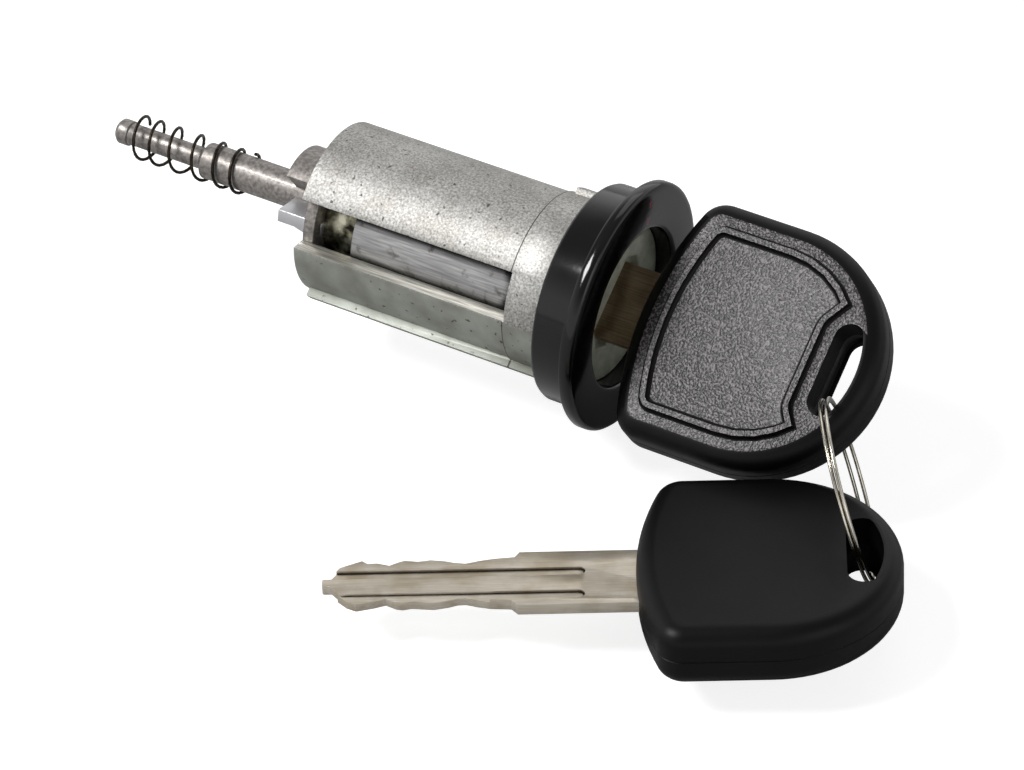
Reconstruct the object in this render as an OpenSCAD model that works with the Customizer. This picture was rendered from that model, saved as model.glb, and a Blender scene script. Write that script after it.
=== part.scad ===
// Car ignition lock barrel, with its key in it and a spare key on a split ring.
// X runs along the barrel towards the key, Z is up, and lengths are millimetres.
// The origin is on the barrel's axis, in the plane of the flange's rear face.

/* [Barrel body] */
// Outer diameter of the die-cast body
body_d = 23.4; // [23:0.1:24]
// Wall of the body
body_wall = 2.15; // [1.9:0.05:2.4]
// Reach of the body behind the flange's rear face
body_reach = 42.9; // [42.4:0.1:46]
// Height of the lug behind the bezel
lug_h = 1.05; // [0.6:0.05:1.6]
// Length of the lug
lug_l = 4.8; // [3.6:0.1:5.2]
// Plain land between the bezel and the side slot
slot_land = 5.6; // [5:0.1:6.2]
// Height of the locating rail above the body
rail_h = 1.2; // [0.6:0.1:1.6]

/* [Bezel] */
// Diameter of the flange
flange_d = 34; // [32:0.2:38]
// Thickness of the flange
flange_t = 1.9; // [1.5:0.1:2.6]
// Outer diameter of the sleeve behind the flange
sleeve_d = 29.8; // [27:0.2:31]
// Length of the sleeve
sleeve_l = 5.3; // [4.8:0.1:6]
// Diameter of the mouth that the key goes into
mouth_d = 21.8; // [21:0.1:22.4]
// Length of the body's nose inside the sleeve
nose_l = 2.5; // [2:0.1:3]

/* [Rotor] */
// Angle of the key's flat about the barrel's axis
key_angle = 34; // [20:1:50]
// Depth of the rotor's face below the flange's front
face_recess = 2.6; // [2:0.1:3]
// Thickness of the face disc
face_t = 2; // [1.6:0.1:2]
// Diameter of the brass coupling
coupling_d = 13.6; // [12:0.2:16]
// Length of the brass coupling behind the plug
coupling_l = 5.8; // [4:0.1:6.2]
// Diameter over the driver's wing
wing_d = 13.4; // [12:0.2:17]
// Reach of the wing behind the body
wing_l = 5.8; // [4:0.1:7]
// Diameter of the rod's root
rod_d = 5; // [4.4:0.1:5]
// Length of the rod's root behind the body
rod_l = 20.7; // [18:0.1:24]
// Diameter of the rod's thin end
thin_rod_d = 3; // [2.6:0.1:3.2]
// Length of the rod's thin end
thin_rod_l = 11.5; // [10:0.1:14]
// Diameter of the rod's tip
tip_d = 3.5; // [3.2:0.1:4]
// Length of the rod's tip
tip_l = 2; // [1.6:0.1:3]
// Number of wafers in the plug
wafer_count = 8; // [4:1:8]
// Thickness of a wafer
wafer_t = 1; // [0.8:0.1:1.2]
// Distance from one wafer to the next
wafer_pitch = 2.8; // [2.4:0.1:2.8]
// Width of a wafer
wafer_w = 5.6; // [5:0.1:6]

/* [Rod spring] */
// Mean diameter of the spring
spring_d = 5.8; // [5.7:0.1:7]
// Diameter of its wire
spring_wire = 0.45; // [0.3:0.05:0.5]
// Number of turns
spring_turns = 6.2; // [4:0.1:8]
// Length of the spring
spring_l = 18; // [15:0.1:20]

/* [Keys] */
// Width of the key's head
head_w = 33.4; // [30:0.1:36]
// Length of the key's head
head_l = 33.6; // [31:0.1:36]
// Thickness of the key's head
head_t = 8.4; // [7.6:0.1:9]
// Rounding of the head's edges
head_edge = 2.4; // [1.6:0.1:2.8]
// Width of the head's rim outside the ring slot
rim_w = 2.2; // [1.8:0.1:2.8]
// Distance from the flange to the head of the inserted key
head_gap = 2.1; // [1:0.1:4]
// Width of the blade at its shoulder
blade_w = 10.7; // [9.6:0.1:10.8]
// Width of the cut part of the blade
track_w = 8.6; // [7.6:0.1:8.8]
// Thickness of the blade
blade_t = 1.6; // [1.5:0.1:2]
// Reach of the blade out of the head
blade_l = 39.6; // [39:0.1:41]
// Length of the blade's full-width part
shoulder_l = 14.8; // [14:0.1:15.2]

/* [Split ring] */
// Mean diameter of the ring
ring_d = 24.2; // [24:0.1:26]
// Radial width of its wire
ring_wire_w = 0.9; // [0.7:0.05:1.2]
// Thickness of its wire along the ring's axis
ring_wire_t = 0.5; // [0.4:0.05:0.6]

/* [Hidden] */
$fn = 64;

// Clearances: a running fit, a fixed fit, a loose fit, and the overrun of every cut
run_gap = 0.05;
fit_gap = 0.03;
loose_gap = 0.15;
cut = 0.5;

// Directions around the axis, in degrees from +Y towards +Z
slot_from_angle = 141;
slot_to_angle = 175;
rail_from_angle = 216;
rail_to_angle = 230;
lug_from_angle = 18;
lug_to_angle = 60;
pin_angle = 300;
wing_from_angle = -55;
wing_to_angle = 125;
stop_angle = 168;

// Places along the axis
sleeve_rear = -sleeve_l;
nose_front = sleeve_rear + nose_l;
lug_rear = sleeve_rear - lug_l;
slot_front = sleeve_rear - slot_land;
body_rear = -body_reach;
face_front = flange_t - face_recess;
face_rear = face_front - face_t;
disc_t = 1.6;
disc_front = body_rear + disc_t;
plug_rear = disc_front + coupling_l;

// The key goes in until its head is near the flange, or its tip near the end of its pocket
tip_pocket_w = 5;
tip_pocket_l = 2;
tip_room = 0.5;
key_x = max(flange_t + head_gap, plug_rear - tip_pocket_l + tip_room + blade_l);
shoulder_x = key_x - shoulder_l;

// Body and bezel details
bore_d = body_d - 2 * body_wall;
plug_d = bore_d - 2 * run_gap;
rail_setback = 0.8;
step_h = 0.2;
step_back = 0.3;
flange_edge = 0.5;
pin_d = 1.5;
pin_x = (sleeve_rear + slot_front) / 2;
pin_groove = 0.9;
wafer_groove = 0.5;

// Rotor details
wafer_front_land = 2.2;
shoulder_room = 0.8;
wafer_first_x = shoulder_x - wafer_front_land;
ear_w = 1.9;
ear_h = 1.4;
ear_v = 0.9;
ear_travel = 0.9;
coil_room_d = 1.6;
coil_d = 1.1;
coil_wire = 0.24;
coil_turns = 5;
coil_l = 4.4;
coil_steps = 8;
coil_sides = 5;
face_dish_v = 6.9;
face_dish_h = 2.7;
face_dish_corner = 5.4;
face_dish_depth = 1.2;
rod_cone = 0.7;
tip_neck = 0.5;
stop_w = 1.8;
stop_root = 0.7;
stop_land = 2;
stop_in = rod_d / 2 + stop_root;
stop_out = plug_d / 2 - stop_land;
stop_flare = 0.7;
stop_l = 5.1;
spring_steps = 18;
spring_sides = 6;
spring_end_gap = 0.3;
spring_pitch_share = 0.25;

// Key details: radii of the head's outline, its panel and its ring slot
head_r = head_w / 2;
head_c = head_l - head_r;
corner_r = 3.7;
shoulder_r = 42;
edge_steps = 4;
arc_steps = 18;
panel_inset = 3.5;
moat_w = 1.3;
moat_depth = 0.8;
slot_r = head_r - rim_w;
slot_wall_in = 7.2;
slot_wall_u = head_l - slot_wall_in;
slot_end_r = 2.1;
slot_frame = 1.9;
frame_half = 5.4;
frame_flare = 2.6;
tang_l = 14;
groove_w = 1.6;
groove_depth = 0.45;
groove_end_l = 7.2;
groove_high_share = 0.25;
groove_low_share = 0.62;
tip_half_share = 0.08;

// The key's cuts, as shares of the blade's reach and of its half width
high_shares = [[0.396, 0.80], [0.460, 0.77], [0.500, 0.70], [0.540, 0.60], [0.566, 0.61],
               [0.596, 0.69], [0.641, 0.76], [0.669, 0.74], [0.712, 0.70], [0.740, 0.75],
               [0.760, 0.72], [0.795, 0.56], [0.833, 0.66], [0.889, 0.76], [0.919, 0.64],
               [0.949, 0.40], [0.970, 0.20]];
low_shares = [[0.389, 0.81], [0.455, 0.76], [0.497, 0.70], [0.545, 0.60], [0.581, 0.64],
              [0.611, 0.71], [0.657, 0.76], [0.697, 0.71], [0.740, 0.76], [0.763, 0.69],
              [0.788, 0.58], [0.828, 0.68], [0.859, 0.67], [0.876, 0.78], [0.914, 0.65],
              [0.947, 0.53], [0.962, 0.33], [0.977, 0.14]];

// The split ring's place, seen from the key, and its turns: they lie closest at its two ends,
// and a little further apart where a key has spread them
ring_place = [35.67, -11.92, -6.78];
ring_turn_angle = 32.18;
ring_tilt_angle = 16.64;
ring_turns = 2;
ring_steps = 60;
ring_sides = 8;
ring_pitch = 0.56;
ring_spread = 0.5;
ring_spread_angle = 60;
ring_jog_share = 0.022;
ring_end_share = 0.06;

// The spare key's place, seen from the key
spare_place = [17.64, -35.26, -11.31];
spare_roll_angle = 176.1;
spare_pitch_angle = -1.69;
spare_yaw_angle = 28.84;

function circle_points(c, r, from, to, n) =
    [for (i = [0 : n]) let (a = from + (to - from) * i / n) c + r * [cos(a), sin(a)]];
function smooth(t) = let (c = min(max(t, 0), 1)) c * c * (3 - 2 * c);

// Outline of the key's head, moved inwards by d: round end, corners and a bowed shoulder
corner_v = head_r - corner_r;
corner_u = shoulder_r - sqrt(pow(shoulder_r - corner_r, 2) - corner_v * corner_v);
corner_a = atan2(corner_v, corner_u - shoulder_r);
function head_outline(d) = concat(
    circle_points([head_c, 0], head_r - d, -90, 90, arc_steps),
    circle_points([corner_u, corner_v], corner_r - d, 90, corner_a, edge_steps),
    circle_points([shoulder_r, 0], shoulder_r - d, corner_a, 360 - corner_a, edge_steps * 2),
    circle_points([corner_u, -corner_v], corner_r - d, 360 - corner_a, 270, edge_steps));

// Puts a section, or a solid drawn along +Z, at a place on the barrel's axis
module at_x(x) translate([x, 0, 0]) rotate([90, 0, 90]) children();
module round_bar(from, to, d) at_x(from) cylinder(h = to - from, d = d);
module turn_to(angle) rotate([angle, 0, 0]) children();
module wedge(from, to, r)
    polygon(concat([[0, 0]], circle_points([0, 0], r, from, to, arc_steps)));

// A wire that winds about Z: [turns, height] steps, with an oval section
module coil(steps, d, wire_w, wire_t, sides) {
    points = [for (s = steps) for (j = [0 : sides - 1])
        let (q = 360 * j / sides, r = d / 2 + wire_w / 2 * cos(q), a = 360 * s[0])
        [r * cos(a), r * sin(a), s[1] + wire_t / 2 * sin(q)]];
    last = len(steps) - 1;
    polyhedron(points, concat(
        [[for (j = [sides - 1 : -1 : 0]) j]],
        [for (i = [0 : last - 1]) for (j = [0 : sides - 1]) let (k = (j + 1) % sides)
            [i * sides + j, i * sides + k, (i + 1) * sides + k, (i + 1) * sides + j]],
        [[for (j = [0 : sides - 1]) last * sides + j]]), convexity = 8);
}

// Half of the key's head, from its parting plane up to the rounded face
module head_half() {
    levels = concat([[0, 0]], [for (i = [0 : edge_steps]) let (a = 90 * i / edge_steps)
        [head_t / 2 - head_edge + head_edge * sin(a), head_edge * (1 - cos(a))]]);
    rings = [for (l = levels) [for (p = head_outline(l[1])) [p[0], p[1], l[0]]]];
    n = len(rings[0]);
    points = [for (r = rings) for (p = r) p];
    polyhedron(points, concat(
        [[for (j = [0 : n - 1]) j]],
        [for (i = [0 : len(levels) - 2]) for (j = [0 : n - 1]) let (k = (j + 1) % n)
            [i * n + j, (i + 1) * n + j, (i + 1) * n + k, i * n + k]],
        [[for (j = [n - 1 : -1 : 0]) (len(levels) - 1) * n + j]]), convexity = 4);
}

// The hole that the split ring goes through: straight inside, round outside
module ring_slot() {
    u = slot_wall_u + slot_end_r;
    v = sqrt(pow(slot_r - slot_end_r, 2) - pow(u - head_c, 2));
    a = atan2(v, u - head_c);
    translate([0, 0, -head_t]) linear_extrude(2 * head_t)
        polygon(concat(circle_points([head_c, 0], slot_r, -a, a, arc_steps),
            circle_points([u, v], slot_end_r, a, 180, 2 * edge_steps),
            circle_points([u, -v], slot_end_r, 180, 360 - a, 2 * edge_steps)));
}

// Area of the raised panel, moved inwards by d, which stops short of the ring slot's frame
module panel_area(d) difference() {
    wall = slot_wall_u - slot_frame - d;
    r = head_r - panel_inset - d;
    intersection() {
        union() {
            translate([head_c, 0]) circle(r);
            translate([0, -r]) square([head_c, 2 * r]);
        }
        translate([shoulder_r, 0]) circle(shoulder_r - panel_inset - d);
    }
    polygon([[wall, -frame_half - d], [wall + frame_flare, -frame_half - frame_flare - d],
        [head_l, -frame_half - frame_flare - d], [head_l, frame_half + frame_flare + d],
        [wall + frame_flare, frame_half + frame_flare + d], [wall, frame_half + d]]);
}

module tang_pocket() translate([-cut, -blade_w / 2 - fit_gap, -blade_t / 2 - fit_gap])
    cube([tang_l + cut + fit_gap, blade_w + 2 * fit_gap, blade_t + 2 * fit_gap]);

module head_front() difference() {
    head_half();
    ring_slot();
    tang_pocket();
    translate([0, 0, head_t / 2 - moat_depth]) linear_extrude(moat_depth + cut) difference() {
        panel_area(0);
        panel_area(moat_w);
    }
}

module head_back() difference() {
    mirror([0, 0, 1]) head_half();
    ring_slot();
    tang_pocket();
}

// A milled groove along the blade, with a round run-out
module blade_groove(v, side) translate([-blade_l, v, side * blade_t / 2]) {
    translate([-cut, -groove_w / 2, -groove_depth])
        cube([blade_l - groove_end_l + cut, groove_w, 2 * groove_depth]);
    translate([blade_l - groove_end_l, 0, -groove_depth])
        cylinder(h = 2 * groove_depth, d = groove_w);
}

// The blade: a tang in the head, a full-width shoulder, and cuts on both edges to the tip
module blade() difference() {
    half = blade_w / 2;
    scale_cut = track_w / 2 / (half * max([for (s = high_shares) s[1]]));
    high = [for (s = high_shares) [-blade_l * s[0], half * s[1] * scale_cut]];
    low = [for (s = low_shares) [-blade_l * s[0], -half * s[1] * scale_cut]];
    translate([0, 0, -blade_t / 2]) linear_extrude(blade_t)
        polygon(concat([[tang_l, -half], [tang_l, half], [-shoulder_l, half]], high,
            [[-blade_l, half * tip_half_share], [-blade_l, -half * tip_half_share]],
            [for (i = [len(low) - 1 : -1 : 0]) low[i]], [[-shoulder_l, -half]]));
    for (side = [-1, 1]) {
        blade_groove(side * groove_high_share * half, side);
        blade_groove(-side * groove_low_share * half, side);
    }
}

module at_key() translate([key_x, 0, 0]) turn_to(key_angle) children();
module at_spare() translate([key_x, 0, 0] + spare_place)
    rotate([spare_roll_angle, spare_pitch_angle, spare_yaw_angle]) children();

module wafer_x(i) translate([wafer_first_x - (i - 1) * wafer_pitch, 0, 0]) children();

// Part of a round bar between two angles, from one place on the axis to another
module body_sector(from, to, r, from_angle, to_angle) at_x(from) linear_extrude(to - from)
    intersection() {
        circle(r);
        wedge(from_angle, to_angle, 2 * r);
    }

// Zinc die casting: a tube with an open side slot, a locating rail, a lug, a step and a nose
module housing() color("silver") difference() {
    union() {
        round_bar(body_rear, nose_front, body_d);
        round_bar(slot_front - step_back, sleeve_rear, body_d + 2 * step_h);
        body_sector(body_rear + rail_setback, sleeve_rear, body_d / 2 + rail_h,
            rail_from_angle, rail_to_angle);
        body_sector(lug_rear, sleeve_rear, body_d / 2 + lug_h, lug_from_angle, lug_to_angle);
    }
    round_bar(body_rear - cut, nose_front + cut, bore_d);
    at_x(body_rear - cut) linear_extrude(body_reach - sleeve_l - slot_land + cut)
        wedge(slot_from_angle, slot_to_angle, body_d);
    turn_to(key_angle) translate([body_rear - cut, -bore_d / 2 - wafer_groove, -wafer_w / 2])
        cube([body_reach - sleeve_l - slot_land + cut, bore_d + 2 * wafer_groove, wafer_w]);
    turn_to(pin_angle) translate([pin_x, 0, 0]) rotate([-90, 0, 0])
        cylinder(h = body_d, d = pin_d + 2 * fit_gap);
}

// Black moulded bezel: a sleeve on the body's nose and a flange with the key's mouth
module bezel() color([0.09, 0.09, 0.10]) at_x(0) rotate_extrude() polygon([
    [mouth_d / 2, nose_front + fit_gap], [body_d / 2 + fit_gap, nose_front + fit_gap],
    [body_d / 2 + fit_gap, sleeve_rear], [sleeve_d / 2 - flange_edge, sleeve_rear],
    [sleeve_d / 2, sleeve_rear + flange_edge], [sleeve_d / 2, 0], [flange_d / 2, 0],
    [flange_d / 2, flange_t - flange_edge], [flange_d / 2 - flange_edge, flange_t],
    [mouth_d / 2, flange_t]]);

// Steel dowel through the body's wall, which holds the plug in by its groove
module retaining_pin() color("gray") turn_to(pin_angle)
    translate([pin_x, plug_d / 2 - pin_groove + run_gap, 0]) rotate([-90, 0, 0])
        cylinder(h = body_wall + pin_groove - run_gap, d = pin_d);

module blade_way(from, to, w) translate([from, -w / 2 - loose_gap, -blade_t / 2 - loose_gap])
    cube([to - from, w + 2 * loose_gap, blade_t + 2 * loose_gap]);

// Place of a wafer's spring: its seat's bottom, seen in the key's frame
spring_h = wafer_w / 2 + ear_w / 2;
module wafer_spring_seat(i) wafer_x(i) translate([0, ear_v - coil_l, spring_h])
    rotate([-90, 0, 0]) children();

// Zinc plug: the key's way, a slot for each wafer with its spring pocket, and a pin groove
module plug() color([0.78, 0.78, 0.79]) difference() {
    round_bar(plug_rear, face_rear, plug_d);
    turn_to(key_angle) {
        blade_way(plug_rear - cut, shoulder_x + cut, track_w);
        blade_way(shoulder_x - shoulder_room, face_rear + cut, blade_w);
        for (i = [1 : wafer_count]) {
            wafer_x(i) at_x(-wafer_t / 2 - run_gap) linear_extrude(wafer_t + 2 * run_gap) {
                square([plug_d + cut, wafer_w + 2 * run_gap], center = true);
                translate([ear_v - run_gap, 0])
                    square([ear_h + ear_travel + 2 * run_gap, wafer_w / 2 + ear_w + run_gap]);
            }
            wafer_spring_seat(i) cylinder(h = coil_l, d = coil_room_d);
        }
    }
    at_x(pin_x - pin_d / 2 - run_gap) linear_extrude(pin_d + 2 * run_gap) difference() {
        circle(d = plug_d + cut);
        circle(d = plug_d - 2 * pin_groove);
    }
}

// Grey-green moulded face: a disc with a long dish round the key's slot
module plug_face() color([0.55, 0.57, 0.52]) difference() {
    round_bar(face_rear, face_front, mouth_d - 2 * run_gap);
    turn_to(key_angle) {
        blade_way(face_rear - cut, face_front + cut, blade_w);
        at_x(face_front - face_dish_depth) linear_extrude(face_dish_depth + cut) polygon([
            [-face_dish_v, 0], [-face_dish_corner, -face_dish_h],
            [face_dish_corner, -face_dish_h], [face_dish_v, 0],
            [face_dish_corner, face_dish_h], [-face_dish_corner, face_dish_h]]);
    }
}

// Steel wafer with the key's window and an ear for its spring
module wafer(i) color("lightgray") turn_to(key_angle) wafer_x(i) at_x(-wafer_t / 2)
    linear_extrude(wafer_t) difference() {
        union() {
            intersection() {
                circle(d = plug_d - 2 * run_gap);
                square([plug_d, wafer_w], center = true);
            }
            translate([ear_v, 0]) square([ear_h, wafer_w / 2 + ear_w - run_gap]);
        }
        square([track_w + 2 * loose_gap, blade_t + 2 * loose_gap], center = true);
    }

// Small coil spring under the wafer's ear
module wafer_spring(i) color("gray") turn_to(key_angle) wafer_spring_seat(i)
    coil([for (s = [0 : coil_turns * coil_steps]) let (t = s / coil_steps)
        [t, coil_wire / 2 + run_gap + (coil_l - coil_wire - 2 * run_gap) * t / coil_turns]],
        coil_d, coil_wire, coil_wire, coil_sides);

// Brass coupling between the plug and the driver, with room for the key's tip
module coupling() color("darkkhaki") difference() {
    round_bar(disc_front, plug_rear, coupling_d);
    turn_to(key_angle) translate([plug_rear - tip_pocket_l, -tip_pocket_w / 2,
        -blade_t / 2 - loose_gap])
        cube([tip_pocket_l + cut, tip_pocket_w, blade_t + 2 * loose_gap]);
}

module stop_slab(gap) turn_to(stop_angle) translate([0, stop_out + gap, 0])
    rotate([90, 0, 0]) linear_extrude(stop_out - stop_in + 2 * gap) children();

// Zinc driver: a disc in the body's rear end, a half-round wing, and a stepped rod
module driver() color([0.72, 0.72, 0.73]) difference() {
    union() {
        step_x = body_rear - rod_l;
        neck_x = step_x - rod_cone;
        tip_x = neck_x - thin_rod_l;
        at_x(0) rotate_extrude() polygon([[0, disc_front],
            [plug_d / 2, disc_front], [plug_d / 2, body_rear], [rod_d / 2, body_rear],
            [rod_d / 2, step_x], [thin_rod_d / 2, neck_x], [thin_rod_d / 2, tip_x],
            [tip_d / 2, tip_x], [tip_d / 2, tip_x - tip_l + tip_neck],
            [tip_d / 2 - tip_neck, tip_x - tip_l], [0, tip_x - tip_l]]);
        body_sector(body_rear - wing_l, body_rear, wing_d / 2, wing_from_angle, wing_to_angle);
    }
    stop_slab(fit_gap) translate([body_rear - cut, -stop_w / 2 - fit_gap])
        square([disc_t + 2 * cut, stop_w + 2 * fit_gap]);
}

// Bright steel stop key, pressed into the driver's disc
module stop_key() color("gainsboro") stop_slab(0) polygon([
    [body_rear - stop_l, -stop_w / 2], [disc_front, -stop_w / 2],
    [disc_front, stop_w / 2], [body_rear, stop_w / 2],
    [body_rear, stop_w / 2 + stop_flare], [body_rear - stop_l / 2, stop_w / 2],
    [body_rear - stop_l, stop_w / 2]]);

// Black spring-wire coil round the rod, closer wound at its two ends
module rod_spring() color([0.12, 0.11, 0.10])
    translate([body_rear - rod_l - rod_cone - thin_rod_l + spring_end_gap, 0, 0]) at_x(0)
        coil([for (s = [0 : spring_turns * spring_steps])
            let (t = s / spring_turns / spring_steps)
            [s / spring_steps, spring_l * (t - spring_pitch_share * sin(360 * t) / (2 * PI))]],
            spring_d, spring_wire, spring_wire, spring_sides);

module key_blade() color([0.72, 0.70, 0.64]) at_key() blade();
module key_head_front() color([0.07, 0.07, 0.08]) at_key() head_front();
module key_head_back() color([0.07, 0.07, 0.08]) at_key() head_back();
module spare_blade() color([0.72, 0.70, 0.64]) at_spare() blade();
module spare_head_front() color([0.07, 0.07, 0.08]) at_spare() head_front();
module spare_head_back() color([0.07, 0.07, 0.08]) at_spare() head_back();

// Steel split ring: nearly two turns side by side, with a jog between its two ends
module split_ring() color([0.80, 0.79, 0.76]) translate([key_x, 0, 0] + ring_place)
    rotate([0, 90 - ring_tilt_angle, ring_turn_angle]) coil(
        [for (s = [0 : ring_turns * ring_steps]) let (
            t = ring_end_share + (ring_turns - 2 * ring_end_share) * s / ring_steps / ring_turns,
            jog = smooth((t - ring_turns / 2 + ring_end_share) / ring_end_share / 2),
            turn = t + ring_jog_share,
            apart = ring_pitch + ring_spread * (1 + cos(360 * turn - ring_spread_angle)) / 2)
            [turn, apart * (jog - 1 / 2)]],
        ring_d, ring_wire_w, ring_wire_t, ring_sides);

housing();
bezel();
retaining_pin();
plug();
plug_face();
coupling();
driver();
stop_key();
rod_spring();
key_blade();
key_head_front();
key_head_back();
spare_blade();
spare_head_front();
spare_head_back();
split_ring();
for (i = [1 : wafer_count]) {
    wafer(i);
    wafer_spring(i);
}
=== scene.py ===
import math

import bpy
from mathutils import Euler, Matrix, Vector


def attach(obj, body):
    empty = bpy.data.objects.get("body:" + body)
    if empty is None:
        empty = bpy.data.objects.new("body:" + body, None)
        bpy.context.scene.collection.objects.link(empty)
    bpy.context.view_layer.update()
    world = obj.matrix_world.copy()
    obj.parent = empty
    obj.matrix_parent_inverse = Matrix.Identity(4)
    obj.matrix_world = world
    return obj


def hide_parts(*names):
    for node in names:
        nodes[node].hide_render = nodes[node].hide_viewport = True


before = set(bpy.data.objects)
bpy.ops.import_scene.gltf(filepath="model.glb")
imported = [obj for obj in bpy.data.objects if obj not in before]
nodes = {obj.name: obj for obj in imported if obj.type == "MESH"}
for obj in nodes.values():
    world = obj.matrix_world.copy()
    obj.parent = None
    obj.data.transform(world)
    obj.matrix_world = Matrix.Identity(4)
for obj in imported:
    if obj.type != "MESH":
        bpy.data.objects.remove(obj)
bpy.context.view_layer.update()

# The studio: a white room with one pale table under the lock, and one camera that looks down on it
# from the key's side. Large soft boxes light it from the left, from behind and from the right.
MM = 0.001
scene = bpy.context.scene
scene.view_settings.view_transform = "Standard"
CAMERA_PLACE = Vector((266.26, -480.24, 446.33)) * MM
CAMERA_DOWN = 39.951
CAMERA_TURN = 30.512
CAMERA_ROLL = -1.074
CAMERA_LENS = 190.93
TABLE_TOP = -19.2 * MM
TABLE_SIZE = 3.0
CARD_GLOW = 0.82
SOFT_BOXES = {
    "left": ((-0.5, -0.38, 0.75), 0.32, 8.5),
    "behind": ((-0.15, 0.75, 0.75), 0.7, 1.8),
    "right": ((0.75, -0.25, 0.45), 0.45, 0.8),
}


def linear(code):
    """An sRGB hex colour as linear RGBA."""
    parts = [int(code[i:i + 2], 16) / 255 for i in (1, 3, 5)]
    return [c / 12.92 if c <= 0.04045 else ((c + 0.055) / 1.055) ** 2.4 for c in parts] + [1]


def add(tree, kind, inputs=None, stops=(), **settings):
    """Adds a shader node with its settings, its input values or links, and a ramp's stops."""
    made = tree.nodes.new("ShaderNode" + kind)
    for key, value in settings.items():
        setattr(made, key, value)
    for socket, value in (inputs or {}).items():
        if isinstance(value, bpy.types.NodeSocket):
            tree.links.new(value, made.inputs[socket])
        else:
            made.inputs[socket].default_value = value
    for i, (place, colour) in enumerate(stops):
        elements = made.color_ramp.elements
        stop = elements[i] if i < 2 else elements.new(place)
        stop.position = place
        stop.color = linear(colour) if isinstance(colour, str) else [colour] * 3 + [1]
    return made


bpy.ops.object.camera_add(location=CAMERA_PLACE)
camera = bpy.context.object
camera.name = "catalogue_camera"
camera.data.lens = CAMERA_LENS
aim = Euler((math.radians(90 - CAMERA_DOWN), 0, math.radians(CAMERA_TURN))).to_matrix()
camera.rotation_euler = (aim @ Matrix.Rotation(math.radians(CAMERA_ROLL), 3, "Z")).to_euler()
scene.camera = camera

for side, (place, size, power) in SOFT_BOXES.items():
    bpy.ops.object.light_add(type="AREA", location=place)
    lamp = bpy.context.object
    lamp.name = "soft_box_" + side
    lamp.data.size = size
    lamp.data.energy = power
    lamp.rotation_euler = (-Vector(place)).to_track_quat("-Z", "Y").to_euler()

world = bpy.data.worlds.new("white_room")
scene.world = world
world.use_nodes = True
room = world.node_tree
ROOM_LIGHT = 0.42
CEILING = 0.3
seen = add(room, "LightPath")
either = add(room, "Math", {0: seen.outputs["Is Camera Ray"], 1: seen.outputs["Is Glossy Ray"]},
             operation="MAXIMUM")
shown = add(room, "Math", {0: either.outputs[0], 1: seen.outputs["Is Transmission Ray"]},
            operation="MAXIMUM")
level = add(room, "MapRange", {"Value": shown.outputs[0], "To Min": ROOM_LIGHT, "To Max": 1.0})
room.links.new(level.outputs[0], room.nodes["Background"].inputs["Strength"])
upward = add(room, "SeparateXYZ", {0: add(room, "TexCoord").outputs["Generated"]})
walls = add(room, "ValToRGB", {"Fac": upward.outputs["Z"]}, [(0.3, 1.0), (0.62, CEILING)])
room.links.new(walls.outputs[0], room.nodes["Background"].inputs["Color"])

bpy.ops.mesh.primitive_plane_add(size=TABLE_SIZE, location=(0, 0, TABLE_TOP))
table = bpy.context.object
table.name = "pale_table"
card = bpy.data.materials.new("matt white card")
card.use_nodes = True
tree = card.node_tree
path = add(tree, "LightPath")
glow = add(tree, "Math", {0: path.outputs["Is Camera Ray"], 1: CARD_GLOW}, operation="MULTIPLY")
shader = tree.nodes["Principled BSDF"]
shader.inputs["Base Color"].default_value = linear("#b6b6b6")
shader.inputs["Roughness"].default_value = 0.9
shader.inputs["Emission Color"].default_value = linear("#ffffff")
tree.links.new(glow.outputs[0], shader.inputs["Emission Strength"])
table.data.materials.append(card)

# The lock's body is a zinc pressure die casting, bored through and slotted along one side, with a
# rail along the other. It leaves the die a dull light grey, and grit blasting leaves it speckled.
# The grit is drawn coarser than real blasting leaves it, so that it shows.
BODY_EDGE = 0.18
GRIT = 0.3
PIT = 0.8
CLOUD = 6.0
STEP_X = -11.2
STEP_SHADE_WIDTH = 0.13
JAW_Z = 1.0
JAW_FADE = 0.3
SLOT_FRONT = -10.9
CUT_FACE = (0, 0.09, 1)
CUT_SLOPE = 0.98
CUT_TOP = 2.0


def only(piece):
    """Selects one object and makes it active, in object mode."""
    if bpy.context.object and bpy.context.object.mode != "OBJECT":
        bpy.ops.object.mode_set(mode="OBJECT")
    bpy.ops.object.select_all(action="DESELECT")
    piece.select_set(True)
    bpy.context.view_layer.objects.active = piece


def edit_all(piece):
    """Opens one object in edit mode with its whole mesh selected."""
    only(piece)
    bpy.ops.object.mode_set(mode="EDIT")
    bpy.ops.mesh.select_mode(type="VERT")
    bpy.ops.mesh.select_all(action="SELECT")


def soften(piece, width, segments=2, sharp=35):
    """Rounds the sharp edges by a few tenths of a millimetre and smooths the rest."""
    only(piece)
    edge = piece.modifiers.new("worn edge", "BEVEL")
    edge.width = width * MM
    edge.segments = segments
    edge.limit_method = "ANGLE"
    edge.angle_limit = math.radians(sharp)
    edge.use_clamp_overlap = True
    bpy.ops.object.modifier_apply(modifier=edge.name)
    bpy.ops.object.shade_smooth_by_angle(angle=math.radians(sharp))


def taken_from(node, name, width):
    """A piece cut to a CAD node's own surface, with its triangles merged and its edges eased."""
    piece = bpy.data.objects.new(name, nodes[node].data.copy())
    scene.collection.objects.link(piece)
    edit_all(piece)
    bpy.ops.mesh.remove_doubles(threshold=0.002 * MM)
    bpy.ops.mesh.dissolve_limited(angle_limit=math.radians(0.5))
    bpy.ops.object.mode_set(mode="OBJECT")
    soften(piece, width)
    return piece


def dress(piece, material):
    """Gives the piece one material in place of what it had."""
    piece.data.materials.clear()
    piece.data.materials.append(material)


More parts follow.
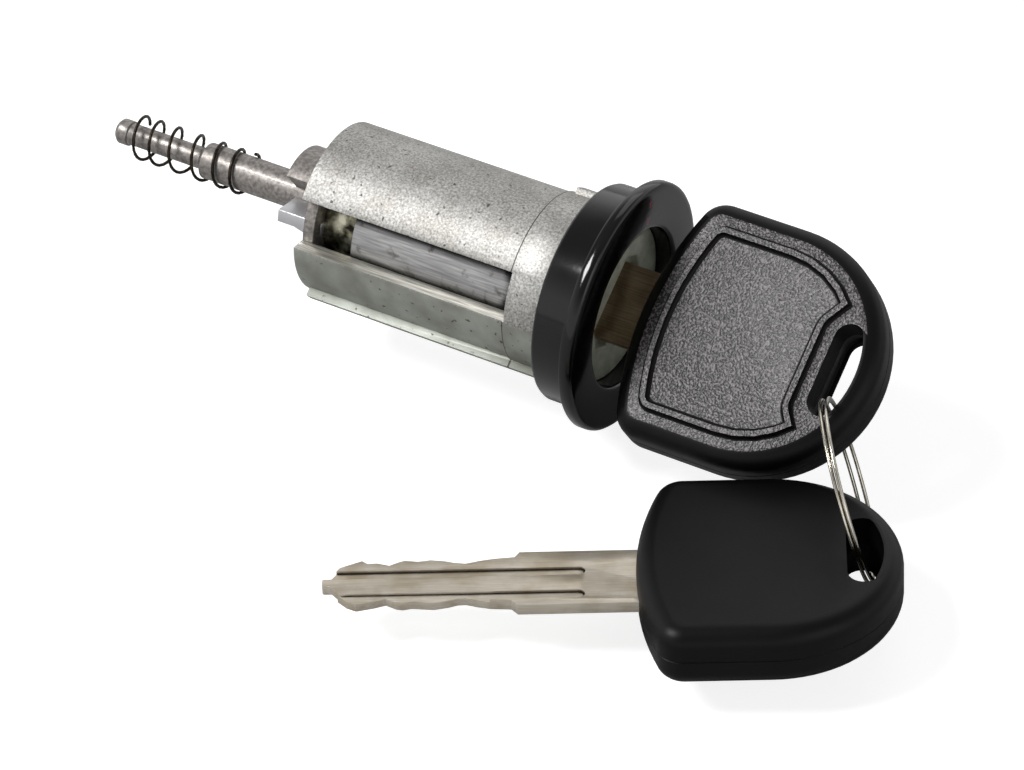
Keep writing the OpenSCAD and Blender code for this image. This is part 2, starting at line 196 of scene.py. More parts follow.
def fit_in(piece, body, slot, *stands_for):
    """Says what the piece moves with and the nodes it stands for; its finish, the slot argument, is not
    used.
    """
    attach(piece, body)
    if stands_for:
        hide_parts(*stands_for)


def new_material(name, roughness, metallic):
    """A material with its shader, and the object's own coordinates for its patterns."""
    material = bpy.data.materials.new(name)
    material.use_nodes = True
    tree = material.node_tree
    shader = tree.nodes["Principled BSDF"]
    shader.inputs["Roughness"].default_value = roughness
    shader.inputs["Metallic"].default_value = metallic
    place = add(tree, "TexCoord").outputs["Object"]
    return material, tree, shader, place


# Blasted zinc scatters the light: a broad soft highlight, broken up by specks and a few dark pits.
# Below the slot the casting keeps its smoother and greener cast skin.
zinc, tree, shader, place = new_material("grit-blasted zinc die casting", 0.5, 0.7)
along, across, up = add(tree, "SeparateXYZ", {0: place}).outputs
grit = add(tree, "TexNoise", {"Vector": place, "Scale": 1 / (GRIT * MM), "Detail": 2, "Roughness": 0.6})
pits = add(tree, "TexNoise", {"Vector": place, "Scale": 1 / (PIT * MM), "Detail": 1})
cloud = add(tree, "TexNoise", {"Vector": place, "Scale": 1 / (CLOUD * MM), "Detail": 3})
speckle = add(tree, "ValToRGB", {"Fac": grit.outputs["Fac"]},
              [(0.3, "#858480"), (0.5, "#aaa9a6"), (0.7, "#cbcac8")])
as_cast = add(tree, "ValToRGB", {"Fac": cloud.outputs["Fac"]}, [(0.3, "#92968d"), (0.7, "#aeb1aa")])
lower = add(tree, "MapRange", {"Value": up, "From Min": JAW_Z * MM,
                                "From Max": (JAW_Z - JAW_FADE) * MM})
mixed = add(tree, "Mix", {0: lower.outputs[0], 6: speckle.outputs[0], 7: as_cast.outputs[0]},
            data_type="RGBA")
pitted = add(tree, "ValToRGB", {"Fac": pits.outputs["Fac"]}, [(0.24, "#8a8783"), (0.3, "#ffffff")])
toned = add(tree, "ValToRGB", {"Fac": cloud.outputs["Fac"]}, [(0.35, "#e4e2df"), (0.65, "#ffffff")])
first = add(tree, "Mix", {0: 1.0, 6: mixed.outputs[2], 7: pitted.outputs[0]},
            data_type="RGBA", blend_type="MULTIPLY")
second = add(tree, "Mix", {0: 1.0, 6: first.outputs[2], 7: toned.outputs[0]},
             data_type="RGBA", blend_type="MULTIPLY")
# Painted shade: a narrow dark band is painted along the step in the body's side, where the step's edge
# casts shade.
corner = add(tree, "Math", {0: along, 1: STEP_X * MM, 2: STEP_SHADE_WIDTH * MM}, operation="COMPARE")
painted_step_shade = add(tree, "Mix", {0: corner.outputs[0], 6: second.outputs[2], 7: linear("#4b4945")},
            data_type="RGBA")
tree.links.new(painted_step_shade.outputs[2], shader.inputs["Base Color"])
height = add(tree, "Math", {0: grit.outputs["Fac"], 1: pitted.outputs[0]}, operation="MULTIPLY")
bump = add(tree, "Bump", {"Height": height.outputs[0], "Strength": 0.3, "Distance": 0.05 * MM})
tree.links.new(bump.outputs[0], shader.inputs["Normal"])

# The cutter leaves a bright edge with fine lines along it.
milled, tree, shader, place = new_material("milled edge of the casting", 0.4, 0.8)
tooled = add(tree, "Mapping", {"Vector": place, "Scale": (0.05, 1, 1)})
marks = add(tree, "TexNoise", {"Vector": tooled.outputs[0], "Scale": 1 / (GRIT * MM), "Detail": 2})
tone = add(tree, "ValToRGB", {"Fac": marks.outputs["Fac"]}, [(0.32, "#a09f96"), (0.6, "#e2e0d6")])
tree.links.new(tone.outputs[0], shader.inputs["Base Color"])

body = taken_from("housing", "lock_body", BODY_EDGE)
dress(body, zinc)
body.data.materials.append(milled)
for polygon in body.data.polygons:
    flat = polygon.normal.dot(Vector(CUT_FACE).normalized()) > CUT_SLOPE
    if flat and polygon.center.y < 0 and 0 < polygon.center.z < CUT_TOP * MM:
        polygon.material_index = int(polygon.center.x < SLOT_FRONT * MM)
fit_in(body, "barrel", "zinc_casting", "housing")

# The bezel is one glossy black moulding: a flange that covers the hole in the cowl, and a sleeve
# that is pressed on the body's nose. It is turned here from one section, with the mould's soft edges.
BEZEL_SECTION = [
    (-2.77, 10.9), (-2.77, 11.73), (-5.3, 11.73), (-5.3, 14.4), (-5.16, 14.72), (-4.8, 14.9),
    (-0.25, 14.9), (-0.07, 14.97), (0, 15.15), (0, 16.6), (0.06, 16.84), (0.3, 17), (1.2, 17),
    (1.5, 16.93), (1.74, 16.72), (1.86, 16.4), (1.9, 16.0), (1.9, 11.5), (1.84, 11.15),
    (1.62, 10.96), (1.3, 10.9),
]
ROUND_STEPS = 128
MOULD_GRAIN = 0.5
MOULD_WAVE = 5.0
TICK_ANGLE = 72.5
TICK_RADII = (12.4, 14.8)
TICK_LONG = 1.0
TICK_WIDE = 0.55


def line(name, points):
    """A new object whose mesh is one open line, in edit mode and selected all over."""
    mesh = bpy.data.meshes.new(name)
    mesh.from_pydata([Vector(p) * MM for p in points], [(i, i + 1) for i in range(len(points) - 1)], [])
    piece = bpy.data.objects.new(name, mesh)
    scene.collection.objects.link(piece)
    edit_all(piece)
    return piece


def close_up(piece):
    """Merges the seams and poles of a mesh and turns its faces outwards."""
    edit_all(piece)
    bpy.ops.mesh.remove_doubles(threshold=0.004 * MM)
    bpy.ops.mesh.normals_make_consistent(inside=False)
    bpy.ops.object.mode_set(mode="OBJECT")


bezel = line("bezel_moulding", [(x, r, 0) for x, r in BEZEL_SECTION + BEZEL_SECTION[:1]])
bpy.ops.mesh.spin(steps=ROUND_STEPS, angle=math.tau, center=(0, 0, 0), axis=(1, 0, 0))
close_up(bezel)
bpy.ops.object.shade_smooth_by_angle(angle=math.radians(40))

# Polished moulds give ABS a deep black with sharp, slightly wavy highlights. Two small red ticks
# are printed on the flange's face.
gloss, tree, shader, place = new_material("gloss black moulded ABS", 0.2, 0.0)
shader.inputs["Specular IOR Level"].default_value = 0.4
fine = add(tree, "TexNoise", {"Vector": place, "Scale": 1 / (MOULD_GRAIN * MM), "Detail": 2})
wave = add(tree, "TexNoise", {"Vector": place, "Scale": 1 / (MOULD_WAVE * MM), "Detail": 1})
tone = add(tree, "ValToRGB", {"Fac": wave.outputs["Fac"]}, [(0.3, "#040405"), (0.7, "#09080b")])
turned = add(tree, "Mapping", {"Vector": place, "Rotation": (math.radians(-TICK_ANGLE), 0, 0)})
ahead, outwards, sideways = add(tree, "SeparateXYZ", {0: turned.outputs[0]}).outputs
narrow = add(tree, "Math", {0: sideways, 1: 0.0, 2: TICK_WIDE / 2 * MM}, operation="COMPARE")
ticks = [add(tree, "Math", {0: outwards, 1: r * MM, 2: TICK_LONG / 2 * MM}, operation="COMPARE")
         for r in TICK_RADII]
either = add(tree, "Math", {0: ticks[0].outputs[0], 1: ticks[1].outputs[0]}, operation="MAXIMUM")
on_face = add(tree, "Math", {0: ahead, 1: BEZEL_SECTION[16][0] * MM / 2}, operation="GREATER_THAN")
inked = add(tree, "Math", {0: either.outputs[0], 1: narrow.outputs[0]}, operation="MULTIPLY")
printed = add(tree, "Math", {0: inked.outputs[0], 1: on_face.outputs[0]}, operation="MULTIPLY")
colour = add(tree, "Mix", {0: printed.outputs[0], 6: tone.outputs[0], 7: linear("#7d1f3a")},
             data_type="RGBA")
tree.links.new(colour.outputs[2], shader.inputs["Base Color"])
rough = add(tree, "MapRange", {"Value": wave.outputs["Fac"], "To Min": 0.08, "To Max": 0.18})
tree.links.new(rough.outputs[0], shader.inputs["Roughness"])
bump = add(tree, "Bump", {"Height": fine.outputs["Fac"], "Strength": 0.12, "Distance": 0.03 * MM})
tree.links.new(bump.outputs[0], shader.inputs["Normal"])
dress(bezel, gloss)
fit_in(bezel, "barrel", "black_bezel", "bezel")

# A steel dowel pressed in from below holds the plug in the body. Only its ground end shows.
steel, tree, shader, place = new_material("ground steel", 0.3, 1.0)
turned = add(tree, "TexNoise", {"Vector": place, "Scale": 1 / (0.3 * MM), "Detail": 2})
tone = add(tree, "ValToRGB", {"Fac": turned.outputs["Fac"]}, [(0.3, "#8f8f90"), (0.7, "#b4b4b4")])
tree.links.new(tone.outputs[0], shader.inputs["Base Color"])
for slot in nodes["retaining_pin"].material_slots:
    slot.material = steel

# The plug is the zinc cylinder that the key turns. Turning leaves it brighter than the body, and
# years of wafers leave fine lines along it, which show through the body's side slot. Painted shade
# darkens it along the slot's upper edge, where the body's wall hides it from the light above.
SLOT_SHADE_REACH = 2.4
SLOT_SHADE_SIDE = (0, -0.39, 0.92)
plug_metal, tree, shader, place = new_material("turned zinc", 0.36, 0.85)
along = add(tree, "Mapping", {"Vector": place, "Scale": (0.06, 1, 1)})
streak = add(tree, "TexNoise", {"Vector": along.outputs[0], "Scale": 1 / (0.28 * MM), "Detail": 3})
stain = add(tree, "TexNoise", {"Vector": place, "Scale": 1 / (2.2 * MM), "Detail": 3})
tone = add(tree, "ValToRGB", {"Fac": streak.outputs["Fac"]},
           [(0.3, "#8c8b8b"), (0.5, "#a09fa0"), (0.72, "#bdbcba")])
dirt = add(tree, "ValToRGB", {"Fac": stain.outputs["Fac"]}, [(0.3, "#a3a197"), (0.42, "#ffffff")])
mixed = add(tree, "Mix", {0: 1.0, 6: tone.outputs[0], 7: dirt.outputs[0]},
            data_type="RGBA", blend_type="MULTIPLY")
# Painted shade: occlusion tilted upwards darkens the plug under the body's upper wall.
slot_occlusion = add(tree, "AmbientOcclusion", {"Distance": SLOT_SHADE_REACH * MM, "Normal": SLOT_SHADE_SIDE})
painted_slot_shade = add(tree, "ValToRGB", {"Fac": slot_occlusion.outputs["AO"]}, [(0.6, "#141314"), (0.86, "#ffffff")])
mixed = add(tree, "Mix", {0: 1.0, 6: mixed.outputs[2], 7: painted_slot_shade.outputs[0]},
            data_type="RGBA", blend_type="MULTIPLY")
tree.links.new(mixed.outputs[2], shader.inputs["Base Color"])
bump = add(tree, "Bump", {"Height": streak.outputs["Fac"], "Strength": 0.3, "Distance": 0.04 * MM})
tree.links.new(bump.outputs[0], shader.inputs["Normal"])
plug = taken_from("plug", "lock_plug", 0.06)
dress(plug, plug_metal)
fit_in(plug, "rotor", "plug_zinc", "plug")

# The plug's face is a grey-green nylon disc with a long dish that leads the key into its slot.
FACE_EDGE = 0.25
nylon, tree, shader, place = new_material("grey-green nylon", 0.48, 0.0)
mottle = add(tree, "TexNoise", {"Vector": place, "Scale": 1 / (1.4 * MM), "Detail": 3})
tone = add(tree, "ValToRGB", {"Fac": mottle.outputs["Fac"]}, [(0.3, "#a3a898"), (0.7, "#bfc4b2")])
tree.links.new(tone.outputs[0], shader.inputs["Base Color"])
bump = add(tree, "Bump", {"Height": mottle.outputs["Fac"], "Strength": 0.2, "Distance": 0.05 * MM})
tree.links.new(bump.outputs[0], shader.inputs["Normal"])
face = taken_from("plug_face", "plug_face_disc", FACE_EDGE)
dress(face, nylon)
fit_in(face, "rotor", "face_moulding", "plug_face")

# Eight stamped brass wafers stand in slots across the plug, each on its own little coil spring.
brass, tree, shader, place = new_material("stamped brass", 0.3, 1.0)
stamp = add(tree, "TexNoise", {"Vector": place, "Scale": 1 / (0.6 * MM), "Detail": 2})
tone = add(tree, "ValToRGB", {"Fac": stamp.outputs["Fac"]}, [(0.3, "#a58a4a"), (0.7, "#c9ae6c")])
tree.links.new(tone.outputs[0], shader.inputs["Base Color"])
for node in nodes:
    if node.startswith("wafer_"):
        for slot in nodes[node].material_slots:
            slot.material = steel if "spring" in node else brass

# A brass coupling joins the plug to the driver. It shows yellowish and oily in the slot's rear end.
coupling_metal, tree, shader, place = new_material("oiled brass", 0.32, 0.9)
oil = add(tree, "TexNoise", {"Vector": place, "Scale": 1 / (1.6 * MM), "Detail": 3})
tone = add(tree, "ValToRGB", {"Fac": oil.outputs["Fac"]},
           [(0.36, "#1d1c15"), (0.5, "#7a7764"), (0.66, "#cfccb8")])
tree.links.new(tone.outputs[0], shader.inputs["Base Color"])
coupling = taken_from("coupling", "coupling_disc", 0.12)
dress(coupling, coupling_metal)
fit_in(coupling, "rotor", "coupling_brass", "coupling")

# The driver is one zinc casting: a disc in the body's rear end, a half-round wing that works the
# switch, and a long stepped rod. A bright steel stop key is pressed into its edge.
driver_metal, tree, shader, place = new_material("tumbled zinc", 0.42, 0.75)
grit = add(tree, "TexNoise", {"Vector": place, "Scale": 1 / (0.5 * MM), "Detail": 3})
tone = add(tree, "ValToRGB", {"Fac": grit.outputs["Fac"]},
           [(0.3, "#6f6a66"), (0.5, "#8b8682"), (0.7, "#a29d99")])
tree.links.new(tone.outputs[0], shader.inputs["Base Color"])
bump = add(tree, "Bump", {"Height": grit.outputs["Fac"], "Strength": 0.25, "Distance": 0.05 * MM})
tree.links.new(bump.outputs[0], shader.inputs["Normal"])
driver = taken_from("driver", "driver_casting", 0.15)
dress(driver, driver_metal)
fit_in(driver, "rotor", "driver_zinc", "driver")
bright, tree, shader, place = new_material("bright drawn steel", 0.35, 0.8)
shader.inputs["Base Color"].default_value = linear("#cccccf")
stop = taken_from("stop_key", "stop_key_steel", 0.1)
dress(stop, bright)
fit_in(stop, "rotor", "stop_steel", "stop_key")

# A coil of blackened spring wire stands round the rod, with its turns closer together at both ends.
SPRING_MEAN = 2.9
SPRING_WIRE = 0.225
SPRING_TURNS = 6.2
SPRING_START = -74.8
SPRING_LENGTH = 18.0
SPRING_CROWD = 0.25
WIRE_STEPS = 24


def wire(name, points, radius, section=None):
    """A round or shaped wire through the points, made a mesh with closed ends."""
    curve = bpy.data.curves.new(name, "CURVE")
    curve.dimensions = "3D"
    curve.twist_mode = "Z_UP"
    spline = curve.splines.new("POLY")
    spline.points.add(len(points) - 1)
    for target, point in zip(spline.points, points):
        target.co = (*(Vector(point) * MM), 1)
    if section:
        curve.bevel_mode = "OBJECT"
        curve.bevel_object = section
    else:
        curve.bevel_depth = radius * MM
        curve.bevel_resolution = 3
    curve.use_fill_caps = True
    piece = bpy.data.objects.new(name, curve)
    scene.collection.objects.link(piece)
    only(piece)
    bpy.ops.object.convert(target="MESH")
    bpy.ops.object.shade_smooth_by_angle(angle=math.radians(50))
    return bpy.context.object


coil = []
for i in range(int(SPRING_TURNS * WIRE_STEPS) + 1):
    share = i / (SPRING_TURNS * WIRE_STEPS)
    turn = math.tau * i / WIRE_STEPS
    reach = SPRING_LENGTH * (share - SPRING_CROWD * math.sin(math.tau * share) / math.tau)
    coil.append((SPRING_START + reach, SPRING_MEAN * math.cos(turn), SPRING_MEAN * math.sin(turn)))
rod_spring = wire("rod_coil_spring", coil, SPRING_WIRE)
spring_metal, tree, shader, place = new_material("blackened spring wire", 0.35, 0.9)
drawn = add(tree, "TexNoise", {"Vector": place, "Scale": 1 / (0.8 * MM), "Detail": 2})
tone = add(tree, "ValToRGB", {"Fac": drawn.outputs["Fac"]}, [(0.35, "#1c1916"), (0.65, "#3d352b")])
tree.links.new(tone.outputs[0], shader.inputs["Base Color"])
dress(rod_spring, spring_metal)
fit_in(rod_spring, "rotor", "spring_wire", "rod_spring")

# Each key blade is blanked from nickel silver, milled with two grooves a side and cut on both edges.
# The mill leaves fine lines along it, and painted shade darkens the grooves' far corners, where the
# groove walls shadow the floor. The key in the barrel is painted darker and browner, as painted shade
# where it lies between the lock's face and its head.
KEY_PLACE = ((4.0, 0, 0), (34, 0, 0))
SPARE_PLACE = ((21.64, -35.26, -11.31), (176.1, -1.69, 28.84))
MILL_LINE = 0.18
LINE_LENGTH = 6.0
GROOVE_SHADE_REACH = 0.9
GROOVE_SHADE_SIDE = (0, 0.7, 0.71)
for node, body_name, name, (_, turned_by), dark, bright in (
        # Painted shade: the key in the barrel gets a darker, browner blade, where the lock and its head
        # shade it.
        ("key_blade", "key", "blade_of_key", KEY_PLACE, "#836f5b", "#a5917a"),
        ("spare_blade", "spare_key", "blade_of_spare", SPARE_PLACE, "#c2b9aa", "#d6cec0")):
    nickel, tree, shader, place = new_material("milled nickel silver of " + node, 0.34, 0.7)
    milled = add(tree, "Mapping", {"Vector": place, "Rotation": (0, 0, math.radians(turned_by[2])),
                                   "Scale": (LINE_LENGTH * MM, MILL_LINE * MM, MILL_LINE * MM)},
                 vector_type="TEXTURE")
    lines = add(tree, "TexNoise", {"Vector": milled.outputs[0], "Scale": 1.0, "Detail": 3})
    stain = add(tree, "TexNoise", {"Vector": place, "Scale": 1 / (4 * MM), "Detail": 3})
    tone = add(tree, "ValToRGB", {"Fac": lines.outputs["Fac"]}, [(0.3, dark), (0.7, bright)])
    tarnish = add(tree, "ValToRGB", {"Fac": stain.outputs["Fac"]}, [(0.35, "#e6e1d8"), (0.6, "#ffffff")])
    mixed = add(tree, "Mix", {0: 1.0, 6: tone.outputs[0], 7: tarnish.outputs[0]},
                data_type="RGBA", blend_type="MULTIPLY")
    # Painted shade: occlusion tilted to one side darkens the grooves' far walls and corners.
    groove_occlusion = add(tree, "AmbientOcclusion", {"Distance": GROOVE_SHADE_REACH * MM, "Normal": GROOVE_SHADE_SIDE},
                only_local=True)
    painted_groove_shade = add(tree, "ValToRGB", {"Fac": groove_occlusion.outputs["AO"]}, [(0.66, "#14100d"), (0.84, "#ffffff")])
    mixed = add(tree, "Mix", {0: 1.0, 6: mixed.outputs[2], 7: painted_groove_shade.outputs[0]},
                data_type="RGBA", blend_type="MULTIPLY")
    tree.links.new(mixed.outputs[2], shader.inputs["Base Color"])
    rough = add(tree, "MapRange", {"Value": lines.outputs["Fac"], "To Min": 0.28, "To Max": 0.42})
    tree.links.new(rough.outputs[0], shader.inputs["Roughness"])
    bump = add(tree, "Bump", {"Height": lines.outputs["Fac"], "Strength": 0.15, "Distance": 0.02 * MM})
    tree.links.new(bump.outputs[0], shader.inputs["Normal"])
    blade = taken_from(node, name, 0.08)
    dress(blade, nickel)
    fit_in(blade, body_name, "blade_nickel", node)

# Each key's head is two black ABS half shells, welded along a parting line round its edge. The front
# one has a grained panel in a moat, the back one is smooth, and both have the split ring's slot.
HEAD_R = 16.7
HEAD_C = 16.9
HEAD_TOP = 4.2
CORNER_R = 3.7
SHOULDER_R = 42.0
EDGE_IN = 2.5
EDGE_DOWN = 2.4
PARTING = 0.12
MOAT_IN = 3.3
MOAT_CORNER = 2.4
MOAT_STEPS = [(0.1, -0.03), (0.12, -0.12), (0.12, -0.25), (0.1, -0.4), (0.7, 0),
              (0.1, 0.3), (0.12, 0.22), (0.14, 0.1), (0.16, 0.03)]
GRAIN_LEVEL = 0.3
GRAIN_SLOPE = 0.985
MOAT_LEVEL = 0.12
PANEL_WALL = 25.1
HORN_ANGLES = (-42.0, 40.0)
PANEL_CUT = (-6.5, 5.2)
SLOT_R = 14.5
SLOT_WALL = 26.4
SLOT_END = 2.1
SLOT_EDGE = 0.7
WALL_ROUND = 0.6
ARC_STEP = 4.5
PANEL_STEP = 12.0
CORNER_STEPS = 8
SHOULDER_STEPS = 16
SLOT_END_STEPS = 12
SLOT_BACK_STEPS = 24


def rounding(depth_in, depth_down, steps):
    """Points of an elliptical quarter edge: how far in and how far below the top."""
    return [(depth_in * (1 - math.cos(math.pi / 2 * i / steps)),
             depth_down * (1 - math.sin(math.pi / 2 * i / steps))) for i in range(steps + 1)]


def sweep(moves):
    """Carries the selected line round an outline: arcs about a centre, and straight runs."""
    for move in moves:
        if move[0] == "arc":
            centre, degrees, steps = move[1:]
            bpy.ops.mesh.spin(steps=steps, angle=-math.radians(degrees), axis=(0, 0, 1),
                              center=Vector((*centre, 0)) * MM)
        else:
            step = Vector((*move[1], 0)) * MM
            bpy.ops.mesh.extrude_region_move(TRANSFORM_OT_translate={"value": step})


def corner_of(side, radius, shoulder):
    """Where the corner's arc is centred, and the angle at which it meets the bowed shoulder."""
    v = side - radius
    u = SHOULDER_R - math.sqrt((shoulder - radius) ** 2 - v * v)
    return u, v, math.degrees(math.atan2(v, u - SHOULDER_R))


def arc_steps(degrees, step):
    """How many straight pieces an arc of the head's round end takes."""
    return max(round(abs(degrees) / step), 2)


def round_the_head(side, radius, shoulder, start, end, step=ARC_STEP):
    """The head's outline from one angle of its round end, past the shoulder, to another."""
    u, v, angle = corner_of(side, radius, shoulder)
    return [("arc", (HEAD_C, 0), 90 - end, arc_steps(90 - end, step)), ("run", (u - HEAD_C, 0)),
            ("arc", (u, v), angle - 90, CORNER_STEPS),
            ("arc", (SHOULDER_R, 0), 360 - 2 * angle, SHOULDER_STEPS),
            ("arc", (u, -v), angle - 90, CORNER_STEPS), ("run", (HEAD_C - u, 0)),
            ("arc", (HEAD_C, 0), start + 90, arc_steps(start + 90, step))]


def select_rim(piece, height):
    """Selects the open edges that lie at one height."""
    edit_all(piece)
    bpy.ops.mesh.select_mode(type="EDGE")
    bpy.ops.mesh.select_all(action="DESELECT")
    bpy.ops.mesh.select_non_manifold()
    bpy.ops.object.mode_set(mode="OBJECT")
    for edge in piece.data.edges:
        ends = [piece.data.vertices[i].co.z for i in edge.vertices]
        edge.select = edge.select and max(abs(z - height * MM) for z in ends) < 0.01 * MM
    bpy.ops.object.mode_set(mode="EDIT")


def half_head(name, with_panel):
    """One half shell of the head, from the parting plane up to its face."""
    section = [(PARTING, 0), (0, PARTING)]
    section += [(i, HEAD_TOP - d) for i, d in rounding(EDGE_IN, EDGE_DOWN, 8)]
    rim = line(name, [(HEAD_C, i - HEAD_R, h) for i, h in section])
    sweep(round_the_head(HEAD_R, CORNER_R, SHOULDER_R, -90, -90))
    slot_u = SLOT_WALL + SLOT_END
    slot_v = math.sqrt((SLOT_R - SLOT_END) ** 2 - (slot_u - HEAD_C) ** 2)
    slot_a = math.degrees(math.atan2(slot_v, slot_u - HEAD_C))
    section = [(HEAD_TOP - d, SLOT_EDGE - i) for i, d in rounding(SLOT_EDGE, SLOT_EDGE, 4)][::-1]
    section += [(0, 0)]
    slot = line(name + "_slot", [(SLOT_WALL - back, 0, h) for h, back in section])
    sweep([("run", (0, -slot_v)), ("arc", (slot_u, -slot_v), 180 - slot_a, SLOT_END_STEPS),
           ("arc", (HEAD_C, 0), 2 * slot_a, SLOT_BACK_STEPS),
           ("arc", (slot_u, slot_v), 180 - slot_a, SLOT_END_STEPS), ("run", (0, -slot_v))])
    parts = [rim, slot]
    if with_panel:
        radius = HEAD_R - MOAT_IN
        low, high = (Vector((math.cos(math.radians(a)), math.sin(math.radians(a)))) * radius
                     + Vector((HEAD_C, 0)) for a in HORN_ANGLES)
        walls = [(PANEL_WALL, PANEL_CUT[0]), (PANEL_WALL, PANEL_CUT[1]), tuple(high)]
        panel = line(name + "_panel", [(*low, HEAD_TOP)] + [(*p, HEAD_TOP) for p in walls])
        bpy.ops.mesh.select_all(action="DESELECT")
        bpy.ops.object.mode_set(mode="OBJECT")
        panel.data.vertices[3].select = True
        bpy.ops.object.mode_set(mode="EDIT")
        sweep(round_the_head(radius, MOAT_CORNER, SHOULDER_R - MOAT_IN, *HORN_ANGLES,
                             step=PANEL_STEP))
        close_up(panel)
        for vertex in panel.data.vertices:
            places = [Vector((*p, HEAD_TOP)) * MM for p in walls[:2]]
            vertex.select = any((vertex.co - p).length < 0.01 * MM for p in places)
        for edge in panel.data.edges:
            edge.select = False
        bpy.ops.object.mode_set(mode="EDIT")
        bpy.ops.mesh.select_mode(type="VERT")
        bpy.ops.mesh.bevel(offset=WALL_ROUND * MM, segments=4, affect="VERTICES")
        bpy.ops.mesh.select_all(action="SELECT")
        bpy.ops.mesh.edge_face_add()
        for inwards, deep in MOAT_STEPS:
            bpy.ops.mesh.inset(thickness=inwards * MM, depth=deep * MM)
        parts.append(panel)
    for part in parts:
        close_up(part)
    only(rim)
    for part in parts:
        part.select_set(True)
    bpy.ops.object.join()
    for height in (HEAD_TOP, 0):
        select_rim(rim, height)
        bpy.ops.mesh.fill(use_beauty=True)
    close_up(rim)
    bpy.ops.object.shade_smooth_by_angle(angle=math.radians(32))
    return rim


# Worn smooth by hands, the shells are a satin black with soft, dim highlights. The panel's grain is
# a random leather texture, and its crests are painted light grey as painted highlights.
shell, tree, shader, place = new_material("satin black ABS", 0.42, 0.0)
shader.inputs["Specular IOR Level"].default_value = 0.16
haze = add(tree, "TexNoise", {"Vector": place, "Scale": 1 / (0.28 * MM), "Detail": 2})
worn = add(tree, "TexNoise", {"Vector": place, "Scale": 1 / (9 * MM), "Detail": 3})
tone = add(tree, "ValToRGB", {"Fac": worn.outputs["Fac"]}, [(0.3, "#040405"), (0.7, "#0a090b")])
tree.links.new(tone.outputs[0], shader.inputs["Base Color"])
bump = add(tree, "Bump", {"Height": haze.outputs["Fac"], "Strength": 0.3, "Distance": 0.03 * MM})
tree.links.new(bump.outputs[0], shader.inputs["Normal"])

grain_with_painted_highlights, tree, shader, place = new_material("leather-grained black ABS", 0.4, 0.0)
grain = add(tree, "TexNoise", {"Vector": place, "Scale": 1 / (0.3 * MM), "Detail": 1})
# Painted highlights: the grain's crests are coloured light grey, besides the bump.
tone = add(tree, "ValToRGB", {"Fac": grain.outputs["Fac"]},
           [(0.4, "#090809"), (0.5, "#201e20"), (0.62, "#6f686b")])
tree.links.new(tone.outputs[0], shader.inputs["Base Color"])
bump = add(tree, "Bump", {"Height": grain.outputs["Fac"], "Strength": 0.8, "Distance": 0.12 * MM})
tree.links.new(bump.outputs[0], shader.inputs["Normal"])

moat, tree, shader, place = new_material("matt black of the moat", 0.7, 0.0)
shader.inputs["Base Color"].default_value = linear("#030303")
shader.inputs["Specular IOR Level"].default_value = 0.08

for half, with_panel in (("front", True), ("back", False)):
    model = half_head("head_" + half, with_panel)
    dress(model, shell)
    if with_panel:
        model.data.materials.append(grain_with_painted_highlights)
        model.data.materials.append(moat)
        for polygon in model.data.polygons:
            across = Vector(polygon.center.xy) / MM
            level = HEAD_TOP - polygon.center.z / MM
            inside = (across - Vector((HEAD_C, 0))).length < HEAD_R - MOAT_IN or across.x < HEAD_C
            inside = inside and across.x < SLOT_WALL - SLOT_EDGE and across.x > MOAT_IN - 1
            if level < GRAIN_LEVEL and polygon.normal.z > GRAIN_SLOPE:
                polygon.material_index = 1
            elif MOAT_LEVEL < level < 1 and inside and abs(across.y) < HEAD_R - MOAT_IN:
                polygon.material_index = 2
    else:
        only(model)
        model.rotation_euler = (math.pi, 0, 0)
        bpy.ops.object.transform_apply(location=False, rotation=True, scale=False)
    for key, body_name, (place_at, turned_by) in (("key", "key", KEY_PLACE),
                                                  ("spare", "spare_key", SPARE_PLACE)):
        head = bpy.data.objects.new(f"{key}_head_{half}_shell", model.data.copy())
        scene.collection.objects.link(head)
        only(head)
        head.location = Vector(place_at) * MM
        head.rotation_euler = [math.radians(a) for a in turned_by]
        bpy.ops.object.transform_apply(location=True, rotation=True, scale=False)
        fit_in(head, body_name, "head_plastic", f"{key}_head_{half}")
    bpy.data.objects.remove(model)

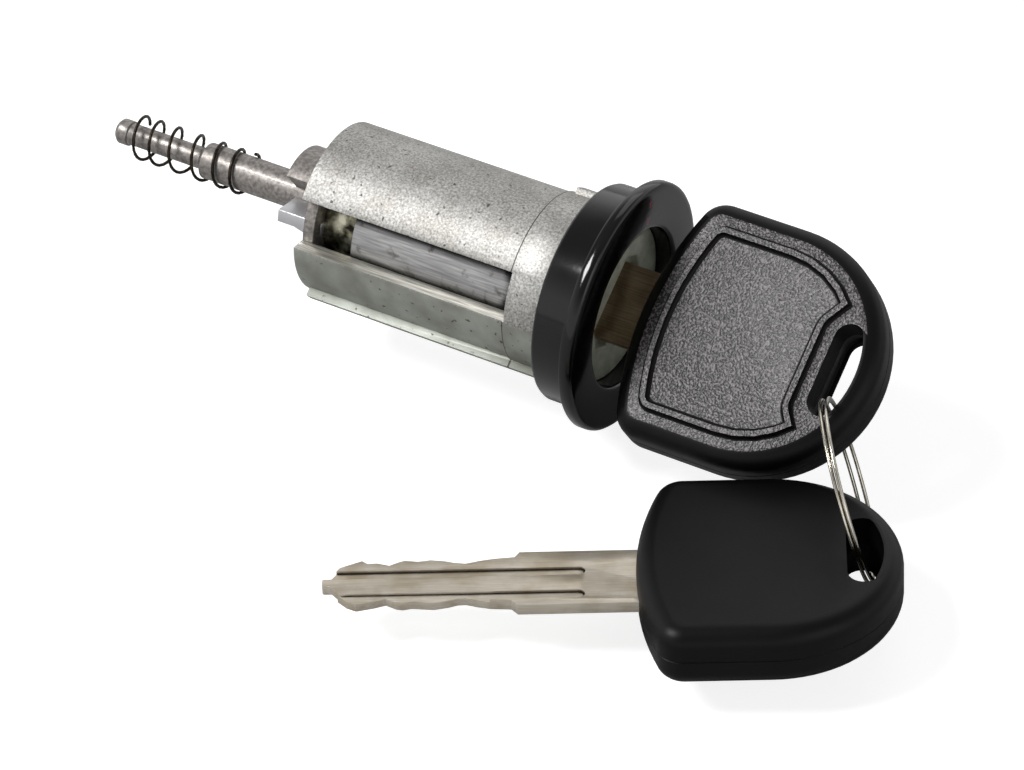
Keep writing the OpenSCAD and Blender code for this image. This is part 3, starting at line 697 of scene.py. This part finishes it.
# The split ring is two turns of flattened, nickel-plated spring steel that lie side by side, with
# a jog where one turn crosses to the other. It ties the two keys together, which have spread it.
RING_MEAN = 12.1
RING_WIDE = 0.9
RING_THICK = 0.5
RING_PITCH = 0.56
RING_SPREAD = 0.5
RING_SPREAD_ANGLE = 60.0
RING_JOG_TURN = 0.022
RING_END_TURN = 0.06
RING_PLACE = Vector((39.67, -11.92, -6.78))
RING_TURN = (0, 90 - 16.64, 32.18)
RING_STEPS = 96

bpy.ops.curve.primitive_bezier_circle_add(radius=0.5)
section = bpy.context.object
section.scale = (RING_WIDE * MM, RING_THICK * MM, 1)
bpy.ops.object.transform_apply(location=False, rotation=False, scale=True)
points = []
for i in range(2 * RING_STEPS + 1):
    turn = RING_END_TURN + (2 - 2 * RING_END_TURN) * i / RING_STEPS / 2
    share = min(max((turn - 1 + RING_END_TURN) / RING_END_TURN / 2, 0), 1)
    angle = math.tau * (turn + RING_JOG_TURN)
    spread = RING_SPREAD * (1 + math.cos(angle - math.radians(RING_SPREAD_ANGLE))) / 2
    lift = (RING_PITCH + spread) * (share * share * (3 - 2 * share) - 0.5)
    points.append((RING_MEAN * math.cos(angle), RING_MEAN * math.sin(angle), lift))
ring = wire("split_ring_wire", points, 0, section)
bpy.data.objects.remove(section)
ring.location = RING_PLACE * MM
ring.rotation_euler = [math.radians(a) for a in RING_TURN]
bpy.ops.object.transform_apply(location=True, rotation=True, scale=False)
# Bright nickel, rubbed duller where the keys slide on it.
plated, tree, shader, place = new_material("nickel-plated spring steel", 0.16, 1.0)
handled = add(tree, "TexNoise", {"Vector": place, "Scale": 1 / (1.5 * MM), "Detail": 3})
tone = add(tree, "ValToRGB", {"Fac": handled.outputs["Fac"]}, [(0.3, "#b9b3a4"), (0.7, "#d8d4cb")])
tree.links.new(tone.outputs[0], shader.inputs["Base Color"])
rough = add(tree, "MapRange", {"Value": handled.outputs["Fac"], "To Min": 0.1, "To Max": 0.28})
tree.links.new(rough.outputs[0], shader.inputs["Roughness"])
dress(ring, plated)
fit_in(ring, "ring", "ring_steel", "split_ring")
